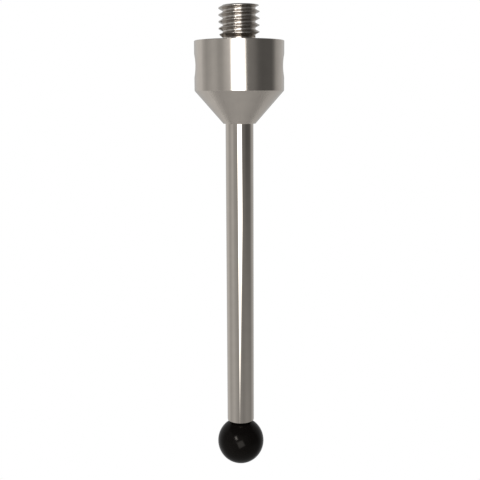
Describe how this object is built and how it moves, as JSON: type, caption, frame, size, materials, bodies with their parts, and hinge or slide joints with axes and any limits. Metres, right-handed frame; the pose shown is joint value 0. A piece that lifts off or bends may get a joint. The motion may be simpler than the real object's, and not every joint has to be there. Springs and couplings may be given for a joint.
{
  "type": "cmm stylus",
  "caption": "Straight stylus with a black ball on a ground shaft, bonded into a turned holder with a screw stud, a seat face and a cross hole for tightening.",
  "frame": {"origin": "centre of the annular face that the holder seats on, at the stud's foot", "axes": "+Z along the stud, away from the ball; +X along the cross hole"},
  "size_m": [0.011, 0.011, 0.0587],
  "materials": {
    "holder_steel": "fine-turned stainless steel",
    "shaft_carbide": "ground tungsten carbide",
    "ball_ceramic": "polished black silicon nitride"
  },
  "bodies": {
    "root": {"holder": "holder_steel", "shaft": "shaft_carbide", "ball": "ball_ceramic"}
  },
  "joints": []
}
